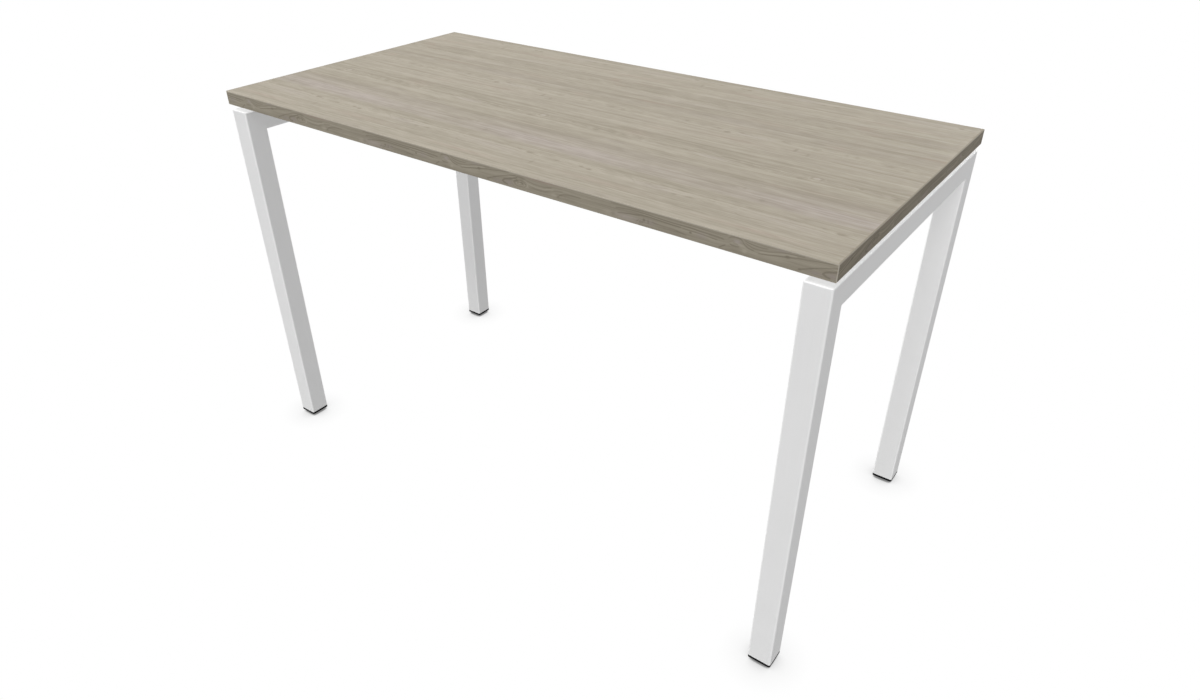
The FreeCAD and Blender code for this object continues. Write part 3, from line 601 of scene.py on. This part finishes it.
# Underside and thickness of the top in millimetres
TOP_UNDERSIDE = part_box("desktop_board")[0].z * MILLIMETRES
TOP_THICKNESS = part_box("desktop_board")[1].z * MILLIMETRES - TOP_UNDERSIDE
# Pale and dark of the edge bands, and their shifts to lilac and rosy, as screen values
LONG_EDGE_TONES = (np.array([166.5, 159, 143.5]), np.array([130.5, 123, 108.5]))
# The short bands' darker tones are painted shade on the desk's ends: all four bands are the same print
SHORT_EDGE_SHADED_TONES = (np.array([144.5, 136.5, 120.5]), np.array([112.5, 105, 90.5]))
EDGE_LILAC_SHIFT = np.array([1.5, -0.5, 8])
EDGE_ROSY_SHIFT = np.array([5, -1, 1])
# Pale trimmed corner of the edge bands: its width, and shares of it between which its paleness changes
ARRIS = 1.8
ARRIS_RISE = (1, 0.8)
ARRIS_FALL = (0.5, 0.15)
ARRIS_FALL_SHARE = 0.65
CORNER_RISE = (0.6, 0.2)
ARRIS_COVER = 0.85
TRIMMED_ARRIS = (186, 179, 166)


def edge_level(turn, along, height):
    """Height measured from the flow of the grain, stretched so that the band's two edges stay straight."""
    flow = in_repeat(along).curve(EDGE_FLOW)
    rise = height - flow
    above = rise.math("MAXIMUM", rise / (TOP_THICKNESS - flow), 0)
    below = rise.math("MINIMUM", rise / flow, 0)
    sway = decor_streaks(turn, height, *EDGE_SWAY) * EDGE_SWAY_SHARE
    return (above + below + sway) * (TOP_THICKNESS / 2)


def arris_step(place, edge, shares):
    """A soft step before an edge, between two distances from it in shares of the arris."""
    first, last = shares
    return place.smooth(edge - ARRIS * first, edge - ARRIS * last)


def trimmed_arris(x, height, corner):
    """How far the trimmed corner covers the print, along the top and, given a corner, at the ends."""
    fall = ARRIS_FALL_SHARE * arris_step(height, TOP_THICKNESS, ARRIS_FALL)
    trimmed = arris_step(height, TOP_THICKNESS, ARRIS_RISE) * (1 - fall)
    if corner:
        trimmed = trimmed.math("MAXIMUM", trimmed, arris_step(abs(x), corner, CORNER_RISE))
    return trimmed * ARRIS_COVER


def edge_decor(name, axis, start, pale, dark, corner=None):
    """Larger-figured wood print of an edge band, its grain along X or Y, with a paler trimmed corner."""
    material, place = new_finish(name)
    x, y, z = decor_axes(place)
    along = (x if axis == "X" else y) - start
    height = z - TOP_UNDERSIDE
    turn = decor_turn(along)
    spot = place.node("ShaderNodeCombineXYZ", sockets={"X": along, "Y": height})
    level = edge_level(turn, along, height)
    lines = decor_streaks(turn, level, *EDGE_FINE_LINES)
    pores = decor_streaks(turn, level, *EDGE_PORES)
    tone = decor_streaks(turn, level, *EDGE_FIGURE) * EDGE_FIGURE_TONE + marks(spot, EDGE_MARKS)
    tone = lines * EDGE_FINE_LINES_TONE + pores * EDGE_PORES_TONE + tone + EDGE_MEAN_TONE
    for half_width, strength, bends in EDGE_LINES:
        tone = grain_line(along, height, half_width, bends) * strength + tone
    tone = (eye_rings(spot, turn, EDGE_EYE) * EDGE_EYE_TONE + tone).clamp()
    lilac = marks(spot, EDGE_LILAC).clamp()
    rosy = marks(spot, EDGE_ROSY).clamp()
    colour = printed_colour(tone, lilac, rosy, dark, pale, EDGE_LILAC_SHIFT, EDGE_ROSY_SHIFT)
    colour = trimmed_arris(x, height, corner).mix(colour, tint(*TRIMMED_ARRIS))
    roughness = EDGE_ROUGHNESS - lines * EDGE_FINE_LINES_GLOSS
    relief = lines + pores * EDGE_PORES_RELIEF + MIDDLE
    close_finish(place, colour, roughness, relief, EDGE_RELIEF, {"Specular IOR Level": EDGE_GLOSS})
    return material


# White powder coat: sizes of its noise in metres and what each adds
COAT_LINES = 0.0016
COAT_LINES_STRETCH = 60
COAT_LINES_TONE = 0.25
COAT_LINES_RELIEF = 0.4
COAT_MOTTLE = 0.05
COAT_MOTTLE_TONE = 0.35
COAT_MOTTLE_ROUGHNESS = 0.12
COAT_PEEL = 0.0011
COAT_PEEL_ROUGHNESS = 0.1
COAT_SPECKLE = 0.0004
COAT_SPECKLE_TONE = 0.1
COAT_GREY = (238, 238, 238)
COAT_WHITE = (248, 248, 248)
COAT_ROUGHNESS = 0.42
COAT_RELIEF = 0.00003
COAT_GLOSS = 0.4


def white_powder_coat(name, stretch):
    """Satin white powder coat: fine orange peel, faint drawing lines along the tube, slight mottling."""
    material, place = new_finish(name)
    lines = cloud(place, COAT_LINES, stretch=stretch)
    mottle = cloud(place, COAT_MOTTLE)
    peel = cloud(place, COAT_PEEL, 1)
    speckle = cloud(place, COAT_SPECKLE, 0)
    tone = lines * COAT_LINES_TONE + mottle * COAT_MOTTLE_TONE + speckle * COAT_SPECKLE_TONE + MIDDLE
    colour = tone.clamp().mix(tint(*COAT_GREY), tint(*COAT_WHITE))
    roughness = mottle * COAT_MOTTLE_ROUGHNESS + peel * COAT_PEEL_ROUGHNESS + COAT_ROUGHNESS
    height = peel + lines * COAT_LINES_RELIEF + MIDDLE
    close_finish(place, colour, roughness, height, COAT_RELIEF, {"Specular IOR Level": COAT_GLOSS})
    return material


# Black moulding: sizes of its noise in metres and what each adds
SPARK = 0.0006
SPARK_TONE = 0.5
SPARK_ROUGHNESS = 0.2
MOULD_FLOW = 0.012
MOULD_FLOW_STRETCH = (1, 1, 0.3)
MOULD_FLOW_TONE = 0.5
MOULD_FLOW_ROUGHNESS = 0.15
MOULDING_BLACK = (8, 8, 9)
MOULDING_GREY = (24, 24, 25)
MOULDING_ROUGHNESS = 0.5
MOULDING_RELIEF = 0.00004
MOULDING_GLOSS = 0.03


def black_moulding():
    """Black moulded plastic with a fine spark grain."""
    material, place = new_finish("black_moulding")
    spark = cloud(place, SPARK)
    flow = cloud(place, MOULD_FLOW, stretch=MOULD_FLOW_STRETCH)
    tone = spark * SPARK_TONE + flow * MOULD_FLOW_TONE + MIDDLE
    colour = tone.clamp().mix(tint(*MOULDING_BLACK), tint(*MOULDING_GREY))
    roughness = spark * SPARK_ROUGHNESS + flow * MOULD_FLOW_ROUGHNESS + MOULDING_ROUGHNESS
    height = spark + MIDDLE
    close_finish(place, colour, roughness, height, MOULDING_RELIEF, {"Specular IOR Level": MOULDING_GLOSS})
    return material


# Bright zinc: sizes of its noise in metres, where each shows and what it adds
ZINC_CLOUDS = 0.009
ZINC_CLOUDS_SPAN = (-0.2, 0.2)
ZINC_CLOUDS_ROUGHNESS = 0.15
ZINC_MARKS = 0.0007
ZINC_MARKS_SPAN = (-0.05, 0.25)
ZINC_MARKS_SHARE = 0.35
ZINC_MARKS_ROUGHNESS = 0.25
ZINC_BLUISH = (188, 194, 202)
ZINC_YELLOWISH = (214, 210, 198)
ZINC_GREY = (150, 152, 156)
ZINC_ROUGHNESS = 0.3
ZINC_RELIEF = 0.00002


def bright_zinc():
    """Bright zinc plated steel: faint bluish and yellowish clouds over fine drawing marks."""
    material, place = new_finish("bright_zinc")
    drawing = cloud(place, ZINC_MARKS)
    clouds = cloud(place, ZINC_CLOUDS)
    colour = clouds.smooth(*ZINC_CLOUDS_SPAN).mix(tint(*ZINC_BLUISH), tint(*ZINC_YELLOWISH))
    colour = (drawing.smooth(*ZINC_MARKS_SPAN) * ZINC_MARKS_SHARE).mix(colour, tint(*ZINC_GREY))
    roughness = drawing * ZINC_MARKS_ROUGHNESS + clouds * ZINC_CLOUDS_ROUGHNESS + ZINC_ROUGHNESS
    close_finish(place, colour, roughness, drawing + MIDDLE, ZINC_RELIEF, {"Metallic": 1})
    return material


# Surfaces

def grid_faces(rows, columns):
    """Quads of a grid whose columns close into rings, one quad for each ring step and row step."""
    row, column = np.meshgrid(np.arange(rows - 1), np.arange(columns), indexing="ij")
    right = (column + 1) % columns
    corners = (row * columns + column, row * columns + right, (row + 1) * columns + right,
               (row + 1) * columns + column)
    return np.stack(corners, -1).reshape(-1, 4)


def new_piece(name, points, faces, material, body, sharp_angle):
    """A finished piece: its mesh in place, its material and the body that it rides on."""
    mesh = bpy.data.meshes.new(name)
    mesh.from_pydata(points.tolist(), [], [list(face) for face in faces])
    mesh.polygons.foreach_set("use_smooth", np.ones(len(mesh.polygons), bool))
    mesh.set_sharp_from_angle(angle=math.radians(sharp_angle))
    mesh.materials.append(material)
    piece = bpy.data.objects.new(name, mesh)
    scene.collection.objects.link(piece)
    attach(piece, body)
    return piece


# Threaded spindles of the feet, in metres
SPINDLE_RADIUS = 0.004
SPINDLE_BEVEL = 0.001
THREAD_PITCH = 0.00125
THREAD_DEPTH = 0.00065
HEAD_RADIUS = 0.007
HEAD_HEIGHT = 0.0018
COLLAR_FLAT = 0.0065
COLLAR_CHAMFER = 0.0004
COLLAR_BOTTOM, COLLAR_TOP = 0.0065, 0.0105
THREAD_START = 0.012
# Shares of the thread's wave that its flat crest and its flank take up
THREAD_CREST = 0.15
THREAD_FLANK = 0.6
# Angle in degrees past which an edge of a spindle stays sharp
SPINDLE_SHARP = 28


def spindle_points(low, high, columns=48, rows_per_turn=8):
    """Rings of a spindle, from its head up to its tip.

    Each ring is a height and a radius for every angle. Head and neck have one radius per ring. On the
    collar the radius is the flat's distance over the cosine of the angle from the middle of the flat,
    cut by a chamfer. Along the thread it is the outer radius less the depth times a flattened triangle
    wave of height over pitch minus the share of the turn, and the bevel of the tip caps it.
    """
    angle = np.arange(columns) * FULL_TURN / columns
    sixth = FULL_TURN / 6
    hexagon = COLLAR_FLAT / np.cos((angle + sixth / 2) % sixth - sixth / 2)
    chamfered = np.minimum(hexagon, COLLAR_FLAT + COLLAR_CHAMFER)
    head_top = low.z + HEAD_HEIGHT
    even = np.ones(columns)
    plain = [
        (low.z, HEAD_RADIUS * even), (head_top, HEAD_RADIUS * even), (head_top, SPINDLE_RADIUS * even),
        (COLLAR_BOTTOM, SPINDLE_RADIUS * even), (COLLAR_BOTTOM, chamfered),
        (COLLAR_BOTTOM + COLLAR_CHAMFER, hexagon), (COLLAR_TOP - COLLAR_CHAMFER, hexagon),
        (COLLAR_TOP, chamfered), (COLLAR_TOP, SPINDLE_RADIUS * even),
    ]
    count = int((high.z - THREAD_START) / THREAD_PITCH * rows_per_turn)
    height = np.linspace(THREAD_START, high.z, count)[:, None]
    wave = np.abs(2 * ((height / THREAD_PITCH - angle / FULL_TURN) % 1) - 1)
    run_in = np.clip((height - THREAD_START) / THREAD_PITCH, 0, 1)
    groove = np.clip((wave - THREAD_CREST) / THREAD_FLANK, 0, 1) * run_in
    bevel = SPINDLE_RADIUS - np.clip(height - (high.z - SPINDLE_BEVEL), 0, SPINDLE_BEVEL)
    radius = np.minimum(SPINDLE_RADIUS - THREAD_DEPTH * groove, bevel)
    rings = np.concatenate([np.array([ring for _, ring in plain]), radius])
    heights = np.concatenate([np.array([z for z, _ in plain]), height[:, 0]])
    middle = (low + high) / 2
    points = np.stack([
        middle.x + rings * np.cos(angle),
        middle.y + rings * np.sin(angle),
        np.broadcast_to(heights[:, None], rings.shape)], -1)
    return points, np.array([[middle.x, middle.y, low.z], [middle.x, middle.y, high.z]])


def add_spindle(corner, material):
    """Spindle of one foot with its thread, in place of the plain CAD rod."""
    node = f"foot_spindle_{corner}"
    rings, poles = spindle_points(*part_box(node))
    rows, columns, _ = rings.shape
    ring = np.arange(columns)
    following = (ring + 1) % columns
    bottom, top = rows * columns, rows * columns + 1
    last = (rows - 1) * columns
    caps = np.concatenate([
        np.stack([np.full(columns, bottom), following, ring], -1),
        np.stack([np.full(columns, top), last + ring, last + following], -1)])
    points = np.concatenate([rings.reshape(-1, 3), poles])
    faces = [*grid_faces(rows, columns), *caps]
    piece = new_piece(f"threaded_spindle_{corner}", points, faces, material, f"spindle_{corner}",
                      SPINDLE_SHARP)
    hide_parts(node)


# Weld beads between the beams and their end plates, in metres
BEAM_ROUND = 0.0025
BEAD_LEG = 0.003
BEAD_RIPPLE = 0.0022
# Bulge of a bead's section, where 1 is a quarter circle and 2 is a straight line
BEAD_BULGE = 1.4
RIPPLE_SWELL = 0.08
# Waves round the beam's outline: strength, count and phase of each
RIPPLE_DRIFT = ((0.9, 5, 0), (0.6, 13, 1))
BEAD_UNEVEN = ((0.05, 7, 2),)
# Angle in degrees past which an edge of a bead stays sharp
BEAD_SHARP = 50


def waves(angle, rows):
    """The sum of sine waves, each given by its strength, its count in a full turn and its phase."""
    return sum(strength * np.sin(count * angle + phase) for strength, count, phase in rows)


def bead_points(low, high, end, stations_per_ripple=8, section_points=7):
    """Fillet weld round the end of a beam: a bulged triangle carried along the beam's outline.

    The path is the beam's rounded rectangle. Its section runs from the corner up the beam and, on an
    arc that swells and shrinks with each ripple, back down to the plate.
    """
    half_y, half_z = (high.y - low.y) / 2, (high.z - low.z) / 2
    flat_y, flat_z = 2 * (half_y - BEAM_ROUND), 2 * (half_z - BEAM_ROUND)
    bend = BEAM_ROUND * QUARTER_TURN
    legs = np.array([flat_z, bend, flat_y, bend] * 2)
    starts = np.concatenate([[0], np.cumsum(legs)])
    ripples = round(starts[-1] / BEAD_RIPPLE)
    count = ripples * stations_per_ripple
    run = np.arange(count) * starts[-1] / count
    leg = np.searchsorted(starts, run, side="right") - 1
    share = (run - starts[leg]) / legs[leg]
    quarter = leg // 2
    turned = QUARTER_TURN * (quarter + np.where(leg % 2 == 1, share, 0))
    out = np.stack([np.cos(turned), np.sin(turned)], -1)
    centre_y = np.array([1, -1, -1, 1])[quarter] * (half_y - BEAM_ROUND)
    centre_z = np.array([1, 1, -1, -1])[quarter] * (half_z - BEAM_ROUND)
    straight = np.where(leg % 2 == 0, share - 1, 0)
    slide_y = np.array([0, -1, 0, 1])[quarter] * straight * flat_y
    slide_z = np.array([1, 0, -1, 0])[quarter] * straight * flat_z
    path = np.stack([centre_y + slide_y, centre_z + slide_z], -1) + BEAM_ROUND * out
    slow = FULL_TURN * run / starts[-1]
    ripple = np.cos(FULL_TURN * run / BEAD_RIPPLE + waves(slow, RIPPLE_DRIFT))
    swell = 1 + RIPPLE_SWELL * ripple + waves(slow, BEAD_UNEVEN)
    arc = np.linspace(0, QUARTER_TURN, section_points)
    along_beam = np.concatenate([[0], BEAD_LEG * np.cos(arc) ** BEAD_BULGE])
    away = np.concatenate([[0], BEAD_LEG * np.sin(arc) ** BEAD_BULGE])
    middle = (low + high) / 2
    sign = 1 if end > middle.x else -1
    points = np.empty((count, len(away), 3))
    points[..., 0] = end - sign * along_beam * swell[:, None]
    points[..., 1] = middle.y + path[:, :1] + away * swell[:, None] * out[:, :1]
    points[..., 2] = middle.z + path[:, 1:] + away * swell[:, None] * out[:, 1:]
    return points if sign < 0 else points[:, ::-1]


def add_weld_beads(side, material):
    """Weld beads at both ends of one beam."""
    low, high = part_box(f"beam_{side}")
    for hand, end in (("left", low.x), ("right", high.x)):
        rings = bead_points(low, high, end)
        closed = np.concatenate([rings, rings[:1]])
        rows, columns, _ = closed.shape
        faces = grid_faces(rows, columns) % (len(rings) * columns)
        new_piece(f"weld_bead_{side}_{hand}", rings.reshape(-1, 3), faces, material, "desk",
                  BEAD_SHARP)


# Finishes of the CAD pieces

def dress(material, *names):
    """Give CAD nodes a finish."""
    for name in names:
        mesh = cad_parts[name].data
        mesh.materials.clear()
        mesh.materials.append(material)


# Where the edge bands' print starts along the desk and across it, in millimetres
LONG_EDGE_START = 0
SHORT_EDGE_START = -295

desk_half_length = cad_box[1].x * MILLIMETRES
zinc = bright_zinc()
black = black_moulding()
upright_coat = white_powder_coat("white_powder_coat_uprights", (1, 1, COAT_LINES_STRETCH))
rail_coat = white_powder_coat("white_powder_coat_rails", (1, COAT_LINES_STRETCH, 1))
beam_coat = white_powder_coat("white_powder_coat_beams", (COAT_LINES_STRETCH, 1, 1))

dress(desktop_decor(), "desktop_board")
dress(edge_decor("edge_decor_long", "X", LONG_EDGE_START, *LONG_EDGE_TONES, desk_half_length),
      "edge_band_front", "edge_band_back")
# Short bands: the same print in darker tones, as painted shade on the desk's ends
dress(edge_decor("edge_decor_short_shaded", "Y", SHORT_EDGE_START, *SHORT_EDGE_SHADED_TONES),
      "edge_band_left", "edge_band_right")
dress(upright_coat, *(f"leg_{corner}" for corner in CORNERS))
dress(rail_coat, "side_rail_left", "side_rail_right")
dress(beam_coat, "beam_front", "beam_back", *(f"end_plate_{corner}" for corner in CORNERS))
dress(black, "top_spacers", *(f"leg_plug_{corner}" for corner in CORNERS),
      *(f"foot_pad_{corner}" for corner in CORNERS))
dress(zinc, "end_plate_bolts", "end_plate_washers", "rivet_nuts", "rail_screws", "beam_screws",
      "top_inserts", "foot_nuts", *(f"foot_spindle_{corner}" for corner in CORNERS))

for corner_name in CORNERS:
    add_spindle(corner_name, zinc)
for beam_side in ("front", "back"):
    add_weld_beads(beam_side, beam_coat)


# Floor, light and camera

# Half side of the floor in metres, and the soft shade that the desk's feet give it
FLOOR_HALF = 6.0
CONTACT_REACH = 0.058
CONTACT_SAMPLES = 16
CONTACT_SHADE = 0.31
# Darker shade beside and under a foot, and the share of the sky that it covers where each comes up
BESIDE_FOOT_SHADE = 0.09
BESIDE_FOOT_COVER = (0.2, 0.5)
UNDER_FOOT_SHADE = 0.45
UNDER_FOOT_COVER = (0.46, 0.66)


def add_floor():
    """Pale floor that shows only the soft contact shade round the feet, over the white backdrop."""
    material = bpy.data.materials.new("pale_floor")
    start = empty_tree(material)
    open_sky = start.node("ShaderNodeAmbientOcclusion", {"samples": CONTACT_SAMPLES},
                          {"Distance": CONTACT_REACH}, "AO")
    clear = start.node("ShaderNodeBsdfTransparent")
    black_shade = start.node("ShaderNodeEmission", sockets={"Color": (0, 0, 0, 1)})
    covered = 1 - open_sky
    darkness = covered * CONTACT_SHADE + covered.smooth(*BESIDE_FOOT_COVER) * BESIDE_FOOT_SHADE
    darkness = darkness + covered.smooth(*UNDER_FOOT_COVER) * UNDER_FOOT_SHADE
    mixed = start.node("ShaderNodeMixShader", sockets={0: darkness, 1: clear, 2: black_shade})
    start.node("ShaderNodeOutputMaterial", sockets={"Surface": mixed})
    corners = FLOOR_HALF * np.array([[-1, -1, 0], [1, -1, 0], [1, 1, 0], [-1, 1, 0]])
    mesh = bpy.data.meshes.new("floor")
    mesh.from_pydata(corners.tolist(), [], [[0, 1, 2, 3]])
    mesh.materials.append(material)
    floor = bpy.data.objects.new("floor", mesh)
    scene.collection.objects.link(floor)
    floor.visible_diffuse = False
    floor.visible_glossy = False
    floor.visible_shadow = False


# Soft light: what comes evenly from all round, what reflections see, and what the camera sees
AMBIENT = 0.12
REFLECTED = 0.6
BACKDROP = 1
# Broad lamps: name, direction, share of white and whether it casts a shadow
LAMPS = (
    ("front_fill", (0, -1, 0), 0.475, False),
    ("right_fill", (1, 0, 0), 0.315, False),
    ("left_fill", (-1, 0, 0), 0.42, False),
    ("back_fill", (0, 1, 0), 0.38, False),
    ("floor_fill", (0, 0, -1), 0.22, False),
    ("front_key", (0.15, -0.55, 0.82), 0.24, True),
)
LAMP_ANGLE = 25
KEY_BOUNCES = 4
OVERHEAD_SHARE = 0.69
OVERHEAD_PLACE = Vector((-1.8, 0.6, 8.0))
OVERHEAD_SIZE = 1.5


def add_lamp(name, kind, place, strength, has_shadow):
    """A lamp at a place, shining towards the origin."""
    lamp = bpy.data.lights.new(name, kind)
    lamp.energy = strength
    lamp.use_shadow = has_shadow
    lamp.cycles.max_bounces = KEY_BOUNCES if has_shadow else 0
    holder = bpy.data.objects.new(name, lamp)
    holder.location = place
    holder.rotation_euler = Vector(place).to_track_quat("Z", "Y").to_euler()
    scene.collection.objects.link(holder)
    return lamp


def light_scene():
    """White backdrop, even light from all round, and broad soft lamps round the desk and above it."""
    world = bpy.data.worlds.new("soft_studio")
    start = empty_tree(world)
    seen = start.node("ShaderNodeLightPath", output="Is Camera Ray")
    light, mirrored, backdrop = (
        start.node("ShaderNodeBackground", sockets={"Color": (1, 1, 1, 1), "Strength": strength})
        for strength in (AMBIENT, REFLECTED, BACKDROP))
    glossy = seen.other("Is Glossy Ray")
    unseen = start.node("ShaderNodeMixShader", sockets={0: glossy, 1: light, 2: mirrored})
    surface = start.node("ShaderNodeMixShader", sockets={0: seen, 1: unseen, 2: backdrop})
    start.node("ShaderNodeOutputWorld", sockets={"Surface": surface})
    scene.world = world
    scene.view_settings.view_transform = "Standard"
    for name, direction, share, has_shadow in LAMPS:
        lamp = add_lamp(name, "SUN", direction, share * math.pi, has_shadow)
        lamp.angle = math.radians(LAMP_ANGLE)
    power = OVERHEAD_SHARE * math.pi ** 2 * OVERHEAD_PLACE.length_squared
    lamp = add_lamp("overhead_softbox", "AREA", OVERHEAD_PLACE, power, False)
    lamp.size = OVERHEAD_SIZE


# The photograph's camera: places in metres, lens and sensor in millimetres
CAMERA_PLACE = Vector((0.88896, -1.16418, 1.18296))
CAMERA_AIM = Vector((0.14521, -0.1438, 0.36905))
CAMERA_LENS = 25.2928
SENSOR_WIDTH = 36


def add_camera():
    """Camera at the photograph's place."""
    lens = bpy.data.cameras.new("photo_camera")
    lens.sensor_fit = "HORIZONTAL"
    lens.sensor_width = SENSOR_WIDTH
    lens.lens = CAMERA_LENS
    camera = bpy.data.objects.new("photo_camera", lens)
    camera.location = CAMERA_PLACE
    camera.rotation_euler = (CAMERA_AIM - CAMERA_PLACE).to_track_quat("-Z", "Y").to_euler()
    scene.collection.objects.link(camera)
    scene.camera = camera


add_floor()
light_scene()
add_camera()
